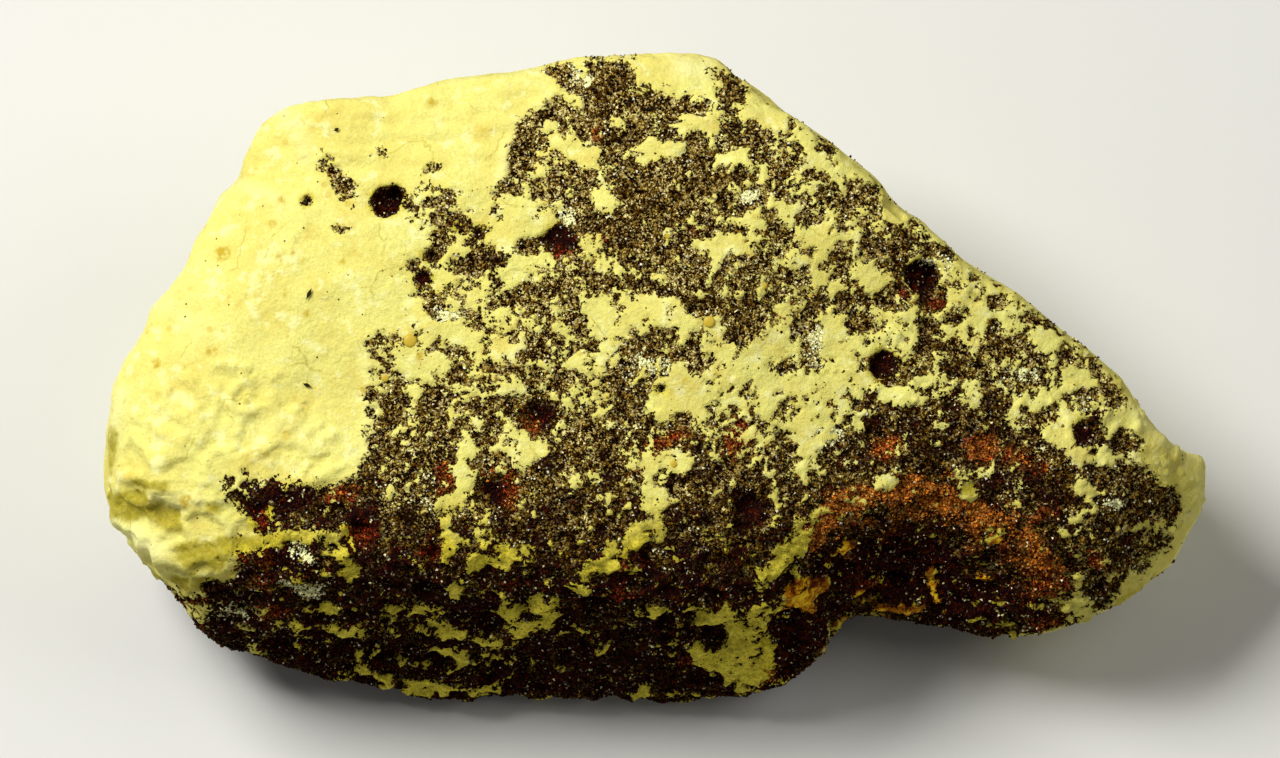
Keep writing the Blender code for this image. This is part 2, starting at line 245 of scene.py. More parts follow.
# Rust in the crust: centre, half-widths, tilt, and how red it is from 0 (orange) to 1 (dark red).
RUST_SPOTS = (
    (532, 424, 8, 12, 30, 0.4), (671, 440, 22, 7, 20, 0.6), (649, 463, 14, 7, 20, 0.5),
    (732, 442, 8, 14, 20, 0.7), (742, 436, 10, 16, 0, 0.8), (511, 490, 8, 18, 0, 0.8),
    (494, 472, 10, 4, 0, 0.5), (446, 477, 10, 16, 0, 0.7), (344, 494, 18, 8, 10, 0.7),
    (262, 520, 7, 10, 0, 1.0), (361, 535, 14, 14, 0, 0.9), (431, 552, 10, 12, 0, 1.0),
    (983, 447, 19, 14, 0, 0.4), (1018, 458, 18, 8, -15, 0.6), (1040, 466, 9, 5, 0, 0.8),
    (884, 447, 15, 12, -10, 0.4), (1045, 513, 10, 7, 0, 0.5), (1098, 562, 9, 8, 0, 0.8),
    (560, 252, 13, 4, 0, 0.9), (513, 207, 7, 6, 0, 0.6), (596, 135, 5, 5, 0, 0.4),
    (905, 294, 4, 5, 0, 0.9), (936, 302, 14, 5, -8, 0.9), (784, 314, 5, 10, -35, 0.5),
    (268, 564, 7, 7, 0, 0.5), (240, 560, 10, 8, 0, 0.9), (694, 230, 6, 5, 0, 0.9),
    (628, 566, 8, 8, 0, 0.9), (622, 592, 8, 6, 0, 1.0), (512, 586, 10, 6, 0, 1.0),
    (690, 660, 12, 5, 10, 0.9), (272, 612, 14, 6, 0, 0.7), (200, 598, 10, 4, 10, 0.5),
    (262, 584, 12, 6, 0, 0.8), (1056, 585, 20, 7, -10, 0.5), (600, 240, 5, 6, 0, 0.8),
    (766, 672, 8, 6, 0, 0.3), (1045, 625, 16, 6, 20, 0.6), (870, 585, 12, 6, 0, 0.9),
)

# The rust-stained arch over the hollow: its line and its half-width. Round the hollow's core, within
# a reach in millimetres, it fades out slowly, at a share of the usual rate.
RUST_ARCH = (
    (818, 530), (836, 508), (880, 494), (930, 492), (975, 510), (1018, 536), (1045, 566),
    (1052, 590),
)
RUST_ARCH_REACH = 15
HOLLOW_CORE, HOLLOW_CORE_REACH = ((905, 585), (965, 585)), 6.0
CORE_FADING = 0.30

# Sulfur that rust has stained amber, along and in the hollow.
AMBER_STAINS = (
    (806, 588, 24, 12, 25), (798, 602, 16, 10, -20), (847, 546, 16, 6, 10), (986, 579, 14, 5),
    (997, 542, 9, 6), (935, 586, 6, 20, 15), (885, 608, 36, 6, -4), (912, 612, 16, 9),
    (842, 612, 14, 6, 30), (870, 620, 40, 6), (824, 640, 7, 24, -35), (908, 581, 8, 5, 20),
    (862, 592, 10, 5, 20),
)

# Pale grey-green alteration.
PALE_SPOTS = (
    (452, 317, 14, 9), (559, 210, 12, 10, -30), (302, 586, 22, 8, -15), (304, 556, 6, 12, 30),
    (424, 479, 9, 9), (434, 506, 14, 5, -20), (1108, 502, 10, 5), (1041, 447, 6, 5),
    (655, 368, 20, 8, -5), (580, 70, 6, 12, 20), (745, 195, 9, 5), (820, 335, 12, 20, -10),
    (236, 612, 18, 5, -10), (828, 436, 10, 8), (1020, 372, 14, 8), (930, 262, 18, 5, -15),
    (1090, 404, 12, 6),
)

# Smooth round beads of golden sulfur: centre and radius.
BEADS = (
    (411, 341, 7), (386, 378, 4), (709, 322, 6), (763, 286, 4), (666, 236, 5), (673, 464, 4),
    (809, 296, 3),
)
BEAD_FLATNESS = 0.25

# Small golden stains on the bare sulfur: centre and radius.
STAINS = (
    (283, 200, 4), (272, 224, 4), (223, 253, 8), (432, 103, 5), (304, 263, 4), (281, 258, 4),
    (286, 294, 3), (308, 314, 4), (364, 391, 6), (656, 329, 3), (881, 256, 3), (875, 246, 3),
    (1001, 289, 3), (685, 379, 3), (157, 364, 5), (343, 262, 3), (294, 254, 3), (420, 357, 4),
    (288, 436, 4), (187, 500, 6), (212, 352, 5),
)

# Dark splinters that lie on the surface: centre, length and tilt.
SPLINTERS = ((310, 294, 11, 65), (308, 385, 8, -20), (650, 110, 13, 0), (337, 130, 5, 30))
SPLINTER_THICKNESS, SPLINTER_LIFT = (0.16, 0.22), 0.20  # millimetres

# Raised folds, with a painted highlight on their crests, and shadowed grooves of the bare sulfur: the
# ends, half-width and height in 0.01 mm.
FOLDS = (
    (288, 118, 302, 138, 9, 14), (302, 138, 306, 160, 8, 14), (240, 184, 278, 200, 8, 14),
    (366, 478, 371, 400, 8, 16), (371, 400, 368, 345, 8, 12), (500, 190, 510, 150, 8, 18),
    (510, 150, 545, 108, 8, 18), (112, 440, 124, 392, 8, 20), (106, 486, 132, 496, 15, -12),
    (132, 496, 160, 510, 15, -14), (160, 510, 184, 530, 13, -14), (184, 540, 212, 552, 11, -14),
    (130, 532, 158, 550, 12, 30), (162, 562, 196, 572, 9, 10), (150, 499, 178, 499, 6, 10),
    (198, 498, 204, 504, 6, 15), (170, 470, 178, 430, 6, -10), (886, 204, 902, 214, 4, -45),
    (902, 214, 914, 224, 4, -35), (118, 516, 122, 536, 7, 25), (1128, 405, 1160, 440, 7, 20),
    (1160, 440, 1198, 460, 7, 25), (1200, 462, 1202, 500, 6, 20), (1176, 470, 1188, 520, 6, -15),
    (1140, 450, 1170, 470, 6, -15), (680, 66, 706, 72, 12, 20), (150, 292, 200, 330, 12, 10),
    (120, 350, 112, 392, 10, 15), (240, 250, 330, 270, 14, -5), (250, 420, 330, 440, 14, 6),
)

# Where the outline bulges beyond the CAD's facets: centre, reach and height in millimetres.
SWELLS = (
    (175, 590, 40, 0.9), (215, 640, 34, 0.7), (826, 648, 28, 1.3), (845, 606, 26, 0.6),
    (905, 612, 30, 0.5), (107, 490, 32, 0.5), (410, 690, 36, 0.5), (455, 698, 34, 0.5),
    (770, 690, 36, 0.5), (152, 305, 18, 0.5), (218, 196, 22, 0.3), (262, 125, 18, 0.3),
    (765, 100, 26, 0.35), (860, 172, 40, 0.30), (1010, 295, 50, 0.30), (1170, 550, 36, 0.5),
    (1204, 462, 12, 0.5), (1040, 634, 30, 0.4), (600, 52, 40, 0.25), (480, 72, 40, 0.30),
    (325, 95, 40, -0.20), (300, 675, 50, -0.55), (240, 655, 30, -0.20),
)

# Painted shade, in olive, on the bare sulfur, in the hollows of its facets.
PAINTED_SHADE_HOLLOWS = (
    (132, 505, 26, 16, -12), (166, 518, 24, 11, -28), (202, 554, 26, 14, -16), (214, 508, 11, 5),
    (258, 541, 40, 10, 8), (196, 577, 36, 9, -10), (150, 560, 26, 7, -42), (114, 452, 5, 24),
    (148, 485, 20, 5, -6), (345, 566, 12, 12), (1130, 598, 40, 7, 38), (968, 490, 8, 9),
    (632, 548, 28, 7, 42), (600, 567, 18, 6, 10), (447, 548, 10, 14), (480, 562, 13, 8),
    (498, 552, 14, 9),
)

# Colours, linear.
SULFUR_LIGHT = (0.88, 0.84, 0.25, 1.0)
SULFUR_WARM = (0.84, 0.73, 0.18, 1.0)
SULFUR_DULL = (0.70, 0.62, 0.12, 1.0)
# Also the painted highlight on the folds' crests.
SULFUR_WHITE = (0.97, 0.95, 0.44, 1.0)
SULFUR_OCHRE = (0.70, 0.52, 0.09, 1.0)
# The next two are painted shade on the bare sulfur: olive in its hollows and turned facets, and mottled
# olive and deep yellow low on the face and in the dark pockets. SULFUR_OLIVE also tints the hairline
# fractures.
SULFUR_OLIVE = (0.42, 0.345, 0.025, 1.0)
SULFUR_SHADE_DEEP = (0.86, 0.72, 0.055, 1.0)
CRUST_BLACK = (0.010, 0.003, 0.0006, 1.0)
CRUST_BROWN = (0.085, 0.036, 0.002, 1.0)
CRUST_TAN = (0.26, 0.152, 0.020, 1.0)
CRUST_GOLD = (0.48, 0.355, 0.085, 1.0)
CRUST_PALE = (0.85, 0.74, 0.32, 1.0)
CRUST_CREAM = (0.82, 0.74, 0.46, 1.0)
CRUST_PURPLE = (0.018, 0.0045, 0.0048, 1.0)
CRUST_GREY = (0.17, 0.12, 0.075, 1.0)
RUST_DARK = (0.080, 0.012, 0.003, 1.0)
RUST_BROWN = (0.37, 0.118, 0.018, 1.0)
RUST_ORANGE = (0.70, 0.230, 0.020, 1.0)
RUST_GOLD = (0.62, 0.35, 0.08, 1.0)
RUST_RED = (0.36, 0.040, 0.014, 1.0)
AMBER_DEEP = (0.34, 0.11, 0.004, 1.0)
AMBER = (0.74, 0.37, 0.009, 1.0)
AMBER_PALE = (0.95, 0.66, 0.035, 1.0)
STAIN_GOLD = (0.60, 0.43, 0.04, 1.0)
PALE_GREEN = (0.97, 0.96, 0.50, 1.0)
GLINT_WHITE = (0.95, 0.90, 0.62, 1.0)

# The grains' colours, darkest first, each with the share of the grains that it ends at.
CRUST_TINTS = (
    (0.29, CRUST_BLACK), (0.46, CRUST_BROWN), (0.60, CRUST_TAN), (0.76, CRUST_GOLD), (1.0, CRUST_PALE),
)
# fmt: on
PURPLE_TINTS = ((0.30, RUST_DARK), (0.94, CRUST_PURPLE), (0.985, CRUST_GREY), (1.0, CRUST_PALE))
ORANGE_TINTS = ((0.18, RUST_DARK), (0.64, RUST_BROWN), (0.90, RUST_ORANGE), (1.0, RUST_GOLD))
RED_TINTS = ((0.25, CRUST_BLACK), (0.66, RUST_DARK), (1.0, RUST_RED))
DARKENING = 0.68  # of the draws where the crust is darkest
CREAM_SHARE, RUST_SHARE, PALE_SHARE = 0.20, 0.95, 0.85  # of the grains, where each is thickest
# The white grains are painted glints on the crust.
GLINT_SHARE, GLINT_LOSS = 0.011, 0.006  # of the grains, and how many fewer in the darkest crust

# The grit under the grains and the amber: pairs of a noise value and a colour.
GRIT_UPPER = ((0.43, CRUST_BLACK), (0.48, CRUST_BROWN), (0.53, CRUST_TAN), (0.61, CRUST_PALE))
GRIT_DARK = ((0.44, CRUST_PURPLE), (0.60, CRUST_BLACK), (0.76, CRUST_BROWN))
GRIT_ORANGE = ((0.40, RUST_DARK), (0.52, RUST_BROWN), (0.70, RUST_ORANGE))
GRIT_RED = ((0.42, CRUST_BLACK), (0.54, RUST_DARK), (0.72, RUST_RED))
AMBER_STOPS = ((0.42, RUST_DARK), (0.48, AMBER_DEEP), (0.53, AMBER), (0.62, AMBER_PALE))

# The bare sulfur's patches, each laid over the last: colour and strength, then the noise values
# where they start and are full, and the noise's wavelength in millimetres, detail and roughness.
SULFUR_LAYERS = (
    (SULFUR_WARM, 0.80, 0.42, 0.62, 6.0, 6.0, 0.65),
    (SULFUR_DULL, 0.60, 0.42, 0.66, 0.24, 4.0, 0.80),
    (SULFUR_OCHRE, 0.65, 0.54, 0.72, 3.1, 7.0, 0.72),
)
MILKY_PATCHES = (0.52, 0.66, 1.6, 5.0, 0.65)


# ---- Places and noise ----


def moved(points, matrix):
    """The points after a 4x4 matrix."""
    turned = np.array(matrix)
    return points @ turned[:3, :3].T + turned[:3, 3]


def on_face(px, py):
    """The face coordinates (u, v) of a pixel of the photograph's frame."""
    return (px - FACE_ORIGIN[0]) * PIXEL, (FACE_ORIGIN[1] - py) * PIXEL


def ramp(value, low, high):
    """0 up to low, 1 from high, and smooth between them."""
    step = np.clip((value - low) / (high - low), 0.0, 1.0)
    return step * step * (3.0 - 2.0 * step)


def bell(away):
    """1 in the middle, about a third at a distance of 1, and 0 far away."""
    return np.exp(-(away**2))


def clouds(points, wavelength, octaves=3, shift=0.0, smoothness=0.9):
    """Fractal noise about 0 with a spread of 1, its largest lumps a wavelength apart."""
    places = points / wavelength + shift
    values = [noise.fractal(place, smoothness, LACUNARITY, octaves) for place in places.tolist()]
    return np.array(values) / np.std(values)


def cells(points, size, shift=0.0):
    """How far each point lies from the wall of its Voronoi cell, in cell sizes."""
    places = points / size + shift
    near = np.array([noise.voronoi(place)[0][:2] for place in places.tolist()])
    return near[:, 1] - near[:, 0]


def distance_from(points, px, py, reach):
    """How far each point lies from a pixel, in reaches of so many pixels."""
    u, v = on_face(px, py)
    return np.hypot(points[:, 0] - u, points[:, 1] - v) / (reach * PIXEL)


def line_distance(points, start, end):
    """How far each point lies from a straight line between two pixels, in millimetres."""
    a, b = np.array(on_face(*start)), np.array(on_face(*end))
    away = points[:, :2] - a
    step = np.clip(away @ (b - a) / ((b - a) @ (b - a)), 0.0, 1.0)
    return np.linalg.norm(away - step[:, None] * (b - a), axis=1)


def depth_in(points, spots):
    """How far each point lies inside the nearest ellipse, in millimetres, and negative outside.

    A spot is a centre, two half-widths and, where it isn't upright, a tilt.
    """
    deepest = np.full(len(points), -9.0)
    for px, py, half_x, half_y, *tilt in spots:
        u, v = on_face(px, py)
        turn = math.radians(sum(tilt))
        du, dv = points[:, 0] - u, points[:, 1] - v
        along = (du * math.cos(turn) + dv * math.sin(turn)) / (half_x * PIXEL)
        across = (dv * math.cos(turn) - du * math.sin(turn)) / (half_y * PIXEL)
        depth = (1.0 - np.hypot(along, across)) * min(half_x, half_y) * PIXEL
        deepest = np.maximum(deepest, depth)
    return deepest


def circles(spots):
    """Round spots, which start with a centre and a radius, as ellipses."""
    return [(px, py, radius, radius) for px, py, radius, *_ in spots]


def depth_in_outline(points, outline):
    """How far each point lies inside a closed outline of pixels, in millimetres."""
    nearest = np.full(len(points), 99.0)
    inside = np.zeros(len(points), dtype=bool)
    for start, end in zip(outline, outline[1:] + outline[:1]):
        nearest = np.minimum(nearest, line_distance(points, start, end))
        (u0, v0), (u1, v1) = on_face(*start), on_face(*end)
        if v0 != v1:
            crossing = u0 + (points[:, 1] - v0) * (u1 - u0) / (v1 - v0)
            inside ^= ((points[:, 1] > v0) != (points[:, 1] > v1)) & (points[:, 0] < crossing)
    return np.where(inside, nearest, -nearest)


def smoothed(points, places):
    """A share at each point, smoothed from places of a pixel, a reach in pixels and a percentage."""
    total = np.zeros(len(points))
    weights = np.full(len(points), 1e-9)
    for px, py, reach, percentage in places:
        weight = bell(distance_from(points, px, py, reach))
        total += weight * percentage / 100
        weights += weight
    return total / weights


def folds_at(points):
    """Each fold's height in millimetres, and its shape at each point: 1 on its crest, 0 beside it."""
    for x0, y0, x1, y1, half_width, height in FOLDS:
        away = line_distance(points, (x0, y0), (x1, y1)) / (half_width * PIXEL)
        yield height / 100, bell(away)


# ---- What grows where ----


def facing_of(normals):
    """1 where the surface faces the way the crusted face does, and 0 on the sides and the back."""
    return ramp(normals[:, 2], 0.03, 0.22)


def crust_on_face(points, ragged, fine):
    """How surely each point of the photographed side is crusted: above 0 it is."""
    windows = ramp(depth_in(points, WINDOWS), -0.7, 0.6)
    windows = np.maximum(windows, ramp(depth_in(points, AMBER_STAINS), -0.2, 0.4))
    cover = np.maximum(0.9 * smoothed(points, COVER) - 0.03 - 1.9 * windows, -0.72)
    border = 1.1 * depth_in_outline(points, CRUST_EDGE)
    crust = np.minimum(border + 0.35 * ragged, cover + 0.40 * ragged + 0.27 * fine)
    crust = np.maximum(crust, 1.7 * depth_in(points, PATCHES) + 0.30 * ragged)
    return np.maximum(crust, 2.5 * depth_in(points, circles(PITS)) + 0.15 * ragged)


def crust_all_round(on_face_crust, points, facing, front, ragged):
    """The face's crust, carried down the sides, and loose patches of it further back."""
    reached = np.maximum(facing, ramp(points[:, 2] + 1.2 * ragged, -13.0, -8.0))
    hidden = 0.5 * clouds(points, 8.0, 2, 5.0) + 0.4 * ragged - 0.5 + 1.5 * front
    return on_face_crust * reached + hidden * (1.0 - reached)


def parted_by_septa(crust, points, dark, walls):
    """The crust with thin walls of sulfur between its cells, where it is darkest."""
    septa = 6.0 * walls + 0.45 + 0.6 * clouds(points, 3.0, 2, 40.0)
    walled = (dark > SEPTA_DARKNESS) & (points[:, 0] < SEPTA_END)
    return np.where(walled, np.minimum(crust, septa), crust)


def rust_at(points, fine):
    """How rusty each point is, and how red its rust is."""
    in_spot = np.full(len(points), -9.0)
    redness = np.zeros(len(points))
    for *spot, red in RUST_SPOTS:
        depth = depth_in(points, [spot])
        redness = np.where(depth > np.maximum(in_spot, -0.6), red, redness)
        in_spot = np.maximum(in_spot, depth)
    spots = ramp(in_spot + 0.15 * fine, -0.3, 0.4)
    arch = [line_distance(points, start, end) for start, end in zip(RUST_ARCH, RUST_ARCH[1:])]
    in_arch = RUST_ARCH_REACH * PIXEL - np.min(arch, axis=0)
    in_core = line_distance(points, *HOLLOW_CORE) < HOLLOW_CORE_REACH
    in_arch = np.where(in_core, CORE_FADING, 1.0) * in_arch
    patchy = clouds(points, 2.0, 3, 51.0, 0.6)
    arched = ramp(in_arch + 0.20 * fine + 0.30 * patchy, -0.5, 0.7)
    return np.maximum(spots, arched), redness


def darkness_at(points, fine):
    """How dark the crust is, in clumps, and how strongly the bare sulfur is painted with shade: towards
    the bottom of the face's middle, and in the darkest spots.
    """
    general = smoothed(points, DARKNESS) + 0.17 * clouds(points, 1.5, 3, 23.0, 0.5)
    deep = ramp(depth_in(points, DARK_SPOTS) + 0.15 * fine, -0.5, 0.5)
    middle = ramp(points[:, 0], -34.0, -30.0) * (1.0 - ramp(points[:, 0], 30.0, 36.0))
    # Painted shade: the bare sulfur darkens towards the bottom of the face's middle and in the darkest
    # spots.
    shade = np.maximum(0.88 * middle * ramp(-points[:, 1], 7.0, 15.0), deep)
    return np.maximum(np.clip(general, 0.0, 1.0), deep), shade


def painted_olive_shade_at(points, normals, ragged):
    """Painted shade, in olive, on the bare sulfur: in its hollows, and half so where it turns from the key
    light.
    """
    towards_key = normals @ (np.array(KEY_SIDE) / np.linalg.norm(KEY_SIDE))
    turned = 1.0 - ramp(towards_key, 0.15, 0.60)
    hollows = ramp(depth_in(points, PAINTED_SHADE_HOLLOWS) + 0.12 * ragged, -0.15, 0.30)
    return np.maximum(hollows, 0.5 * turned)


def painted_highlight_at(points):
    """Painted highlight along the crests of the bare sulfur's raised folds."""
    painted_highlight = np.zeros(len(points))
    for height, crest in folds_at(points):
        painted_highlight = np.maximum(painted_highlight, FOLD_HIGHLIGHT * max(height, 0.0) * crest)
    return np.clip(painted_highlight, 0.0, 1.0)


def fields_at(points, normals):
    """What the surface is made of at each point, as arrays by name."""
    facing = facing_of(normals)
    front = ramp(-normals[:, 1], 0.2, 0.8) * (1.0 - ramp(points[:, 0], 27.0, 34.0))
    ragged = clouds(points, 1.9, 4, smoothness=0.40)
    fine = clouds(points, 0.7, 2, 17.0)
    walls = cells(points, CELL_SIZE)
    dark, shade = darkness_at(points, fine)
    dark = dark * facing + 0.8 * front * (1.0 - facing)
    crust = crust_on_face(points, ragged, fine)
    crust = crust_all_round(crust, points, facing, front, ragged)
    crust = parted_by_septa(crust, points, dark, walls)
    rust, redness = rust_at(points, fine)
    return {
        "crust": np.clip(crust, -1.0, 1.0),
        "dark": dark,
        # Painted shade on the bare sulfur, towards the bottom of the face and in the dark spots.
        "shade": shade * np.maximum(facing, front),
        "rust": rust * facing,
        "redness": redness,
        "amber": ramp(depth_in(points, AMBER_STAINS) + 0.25 * ragged, -0.6, 0.4) * facing,
        "gold": ramp(depth_in(points, circles(STAINS)) + 0.04 * fine, -0.15, 0.15) * facing,
        # Painted shade in olive, in the facets' hollows and where they turn from the key light.
        "olive_painted_shade": painted_olive_shade_at(points, normals, ragged) * facing,
        "pale": ramp(depth_in(points, PALE_SPOTS) + 0.30 * ragged, -0.2, 0.5) * facing,
        # Painted highlight on the folds' crests.
        "painted_highlight": painted_highlight_at(points) * facing,
        "walls": walls,
    }


def pits_at(points):
    """How deep the gas pits are at each point, in millimetres."""
    total = np.zeros(len(points))
    for px, py, radius, depth in PITS:
        total += depth * (1.0 - ramp(distance_from(points, px, py, radius), 0.55, 1.1))
    return total


def swells_at(points):
    """How far the lump's outline bulges at each point, in millimetres."""
    total = np.full(len(points), OUTLINE_SWELL)
    for px, py, reach, height in SWELLS:
        total += height * bell(distance_from(points, px, py, reach))
    return total


def relief_at(points, fields, normals):
    """How far the surface stands out from the smooth lump at each point, in millimetres."""
    facing = facing_of(normals)
    bare = 1.0 - ramp(fields["crust"], -0.15, 0.1)
    height = WAVE_HEIGHT * clouds(points, 5.0, 3, 31.0)
    height += RIPPLE_HEIGHT * bare * clouds(points, 1.0, 2, 12.0)
    height -= (1.0 - bare) * (CRUST_DEPTH - CRUST_ROUGHNESS * clouds(points, 0.9, 2, 9.0))
    height += LIP_HEIGHT * bell((fields["crust"] + 0.30) / 0.20) * facing
    cell = 0.6 - ramp(fields["walls"], 0.0, 0.45)
    height += CELL_HEIGHT * ramp(fields["dark"], 0.6, 0.9) * cell
    height -= pits_at(points) * facing
    for fold, crest in folds_at(points):
        height += fold * crest * facing
    slope = ramp(points[:, 1], 14.0, 18.0) * bare * facing
    height += CREASE_HEIGHT * slope * clouds(points * CREASE_STRETCH, 1.1, 3, 3.0)
    return height + swells_at(points) * (1.0 - np.abs(normals[:, 2]))


# ---- The lump ----


def linked_object(name, data):
    """A new object in the scene, made of a mesh, a light or a camera."""
    made = bpy.data.objects.new(name, data)
    bpy.context.scene.collection.objects.link(made)
    return made


def remeshed_copy(source, name):
    """A new object with the source's shape, remeshed into even squares and smoothed."""
    piece = linked_object(name, source.data.copy())
    remesh = piece.modifiers.new("remesh", "REMESH")
    remesh.mode = "VOXEL"
    remesh.voxel_size = VOXEL * MM
    smooth = piece.modifiers.new("smooth", "SMOOTH")
    smooth.factor = 0.5
    smooth.iterations = 3
    depsgraph = bpy.context.evaluated_depsgraph_get()
    mesh = bpy.data.meshes.new_from_object(piece.evaluated_get(depsgraph))
    piece.modifiers.clear()
    piece.data = mesh
    mesh.materials.clear()
    return piece


def refine_face(mesh):
    """Halve the squares of the side that the photograph shows."""
    outward = FACE_TO_WORLD.to_3x3().normalized().col[2]
    shape = bmesh.new()
    shape.from_mesh(mesh)
    shape.normal_update()
    seen = [face for face in shape.faces if face.normal.dot(outward) > 0.05]
    edges = {edge for face in seen for edge in face.edges}
    bmesh.ops.subdivide_edges(shape, edges=list(edges), cuts=1, use_grid_fill=True)
    inner = [vertex for vertex in shape.verts if vertex.normal.dot(outward) > 0.02]
    axes = {"use_axis_x": True, "use_axis_y": True, "use_axis_z": True}
    for _ in range(2):
        bmesh.ops.smooth_vert(shape, verts=inner, factor=0.5, **axes)
    shape.to_mesh(mesh)
    shape.free()


def vertex_arrays(mesh):
    """The mesh's points and normals as arrays, in face coordinates."""
    count = len(mesh.vertices)
    points = np.empty(count * 3)
    normals = np.empty(count * 3)
    mesh.vertices.foreach_get("co", points)
    mesh.vertex_normals.foreach_get("vector", normals)
    to_face = FACE_TO_WORLD.inverted()
    turn = np.array(to_face.to_3x3().normalized())
    return moved(points.reshape(-1, 3), to_face), normals.reshape(-1, 3) @ turn.T


def build_lump():
    """The lump with its relief, and what its surface is made of."""
    lump = remeshed_copy(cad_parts[NODE], "sulfur_lump")
    mesh = lump.data
    refine_face(mesh)
    points, normals = vertex_arrays(mesh)
    resting = moved(points, FACE_TO_WORLD)[:, 2] < RESTING_BELOW * MM
    fields = fields_at(points, normals)
    height = relief_at(points, fields, normals)
    raised = moved(points + normals * height[:, None], FACE_TO_WORLD)
    raised[:, 2] = np.where(resting, 0.0, np.maximum(raised[:, 2], FLOOR_GAP * MM))
    mesh.vertices.foreach_set("co", raised.ravel())
    for name, values in fields.items():
        attribute = mesh.attributes.new(name, "FLOAT", "POINT")
        attribute.data.foreach_set("value", values.astype(np.float32))
    mesh.shade_smooth()
    mesh.update()
    mesh.materials.append(lump_material())
    return lump, fields


# ---- Grains, beads and splinters ----


def triangles_of(mesh):
    """The mesh's triangles as rows of vertex numbers."""
    mesh.calc_loop_triangles()
    corners = np.empty(len(mesh.loop_triangles) * 3, dtype=np.int32)
    mesh.loop_triangles.foreach_get("vertices", corners)
    return corners.reshape(-1, 3)


def surface_finder(lump):
    """A function that gives the place on the surface under a pixel."""
    points, _ = vertex_arrays(lump.data)
    tree = BVHTree.FromPolygons(points.tolist(), triangles_of(lump.data).tolist())

    def under(px, py):
        return np.array(tree.ray_cast(Vector((*on_face(px, py), 60.0)), Vector((0, 0, -1)))[0])

    return under


def scatter(mesh, weights, count, rng):
    """Random places on a mesh, thicker where the weights are: points, normals, nearest vertices."""
    points, normals = vertex_arrays(mesh)
    corners = triangles_of(mesh)
    sides = points[corners]
    area = np.linalg.norm(np.cross(sides[:, 1] - sides[:, 0], sides[:, 2] - sides[:, 0]), axis=1)
    chance = area * weights[corners].mean(axis=1)
    chosen = rng.choice(len(corners), size=count, p=chance / chance.sum())
    share = rng.dirichlet((1.0, 1.0, 1.0), size=count)
    place = (points[corners[chosen]] * share[:, :, None]).sum(axis=1)
    normal = (normals[corners[chosen]] * share[:, :, None]).sum(axis=1)
    normal /= np.linalg.norm(normal, axis=1)[:, None]
    return place, normal, corners[chosen, share.argmax(axis=1)]


def random_turns(count, rng):
    """Random rotation matrices."""
    quaternions = rng.normal(size=(4, count)).T.tolist()
    return np.array([Quaternion(value).normalized().to_matrix() for value in quaternions])


def octahedron():
    """The points and triangles of a small octahedron."""
    points = [(1, 0, 0), (-1, 0, 0), (0, 1, 0), (0, -1, 0), (0, 0, 1), (0, 0, -1)]
    above = [(0, 2, 4), (2, 1, 4), (1, 3, 4), (3, 0, 4)]
    below = [(2, 0, 5), (1, 2, 5), (3, 1, 5), (0, 3, 5)]
    return np.array(points, dtype=float), np.array(above + below)


def tetrahedron():
    """The points and triangles of a small tetrahedron."""
    points = [(1, 1, 1), (-1, -1, 1), (-1, 1, -1), (1, -1, -1)]
    faces = [(0, 2, 1), (0, 1, 3), (0, 3, 2), (1, 2, 3)]
    return np.array(points, dtype=float) * 0.7, np.array(faces)


def ball():
    """The points and triangles of a small ball."""
    shape = bmesh.new()
    bmesh.ops.create_icosphere(shape, subdivisions=2, radius=1.0)
    points = np.array([vertex.co for vertex in shape.verts])
    faces = np.array([[vertex.index for vertex in face.verts] for face in shape.faces])
    shape.free()
    return points, faces


def joined_mesh(name, base, places, turns, sizes, tints):
    """One mesh of many copies of a small solid, each turned, stretched, moved and tinted."""
    base_points, base_faces = base
    count, corners = len(places), len(base_points)
    copies = base_points[None, :, :] * sizes[:, None, :]
    copies = np.einsum("nij,nkj->nki", turns, copies) + places[:, None, :]
    faces = base_faces[None, :, :] + (np.arange(count) * corners)[:, None, None]
    mesh = bpy.data.meshes.new(name)
    points = moved(copies.reshape(-1, 3), FACE_TO_WORLD)
    mesh.from_pydata(points.tolist(), [], faces.reshape(-1, 3).tolist())
    tint = mesh.color_attributes.new("tint", "FLOAT_COLOR", "POINT")
    tint.data.foreach_set("color", np.repeat(tints, corners, axis=0).ravel())
    return linked_object(name, mesh)


def drawn_tints(draw, tints):
    """A colour for each draw from 0 to 1, from pairs of the share it ends at and the colour."""
    ends = np.array([end for end, _ in tints])
    colours = np.array([colour for _, colour in tints])
    return colours[np.minimum(np.searchsorted(ends, draw), len(tints) - 1)]


